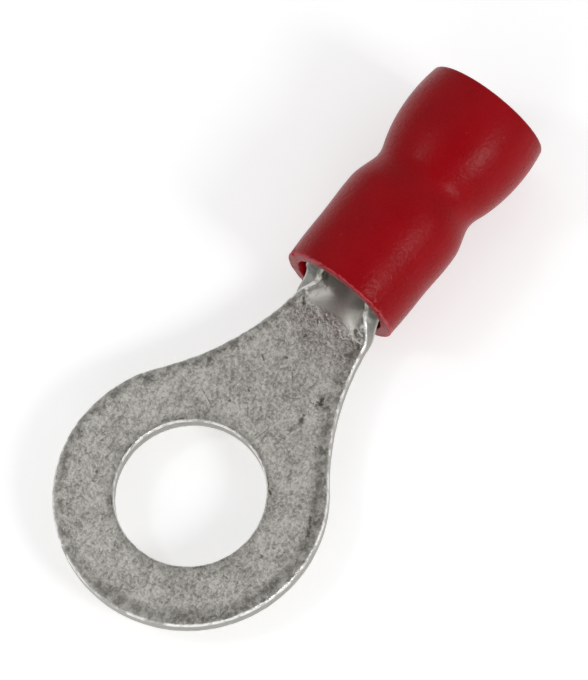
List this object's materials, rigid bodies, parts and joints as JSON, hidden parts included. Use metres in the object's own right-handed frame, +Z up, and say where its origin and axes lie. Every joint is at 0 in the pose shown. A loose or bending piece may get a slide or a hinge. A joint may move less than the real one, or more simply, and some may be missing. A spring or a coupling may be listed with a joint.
{
  "type": "ring terminal",
  "caption": "Insulated crimp ring terminal: a flat stud ring and tongue that roll up into a wire barrel, inside a waisted sleeve with a bell-shaped wire entry.",
  "frame": {"origin": "centre of the stud hole, on the tongue's underside", "axes": "+X along the terminal from the stud hole to the wire entry, +Z up out of the tongue's top, on the side of the barrel's seam"},
  "size_m": [0.0264, 0.0116, 0.0059],
  "materials": {
    "tinned_copper": "satin",
    "red_insulation": "matte"
  },
  "bodies": {
    "root": {"terminal": "tinned_copper", "sleeve": "red_insulation"}
  },
  "joints": []
}
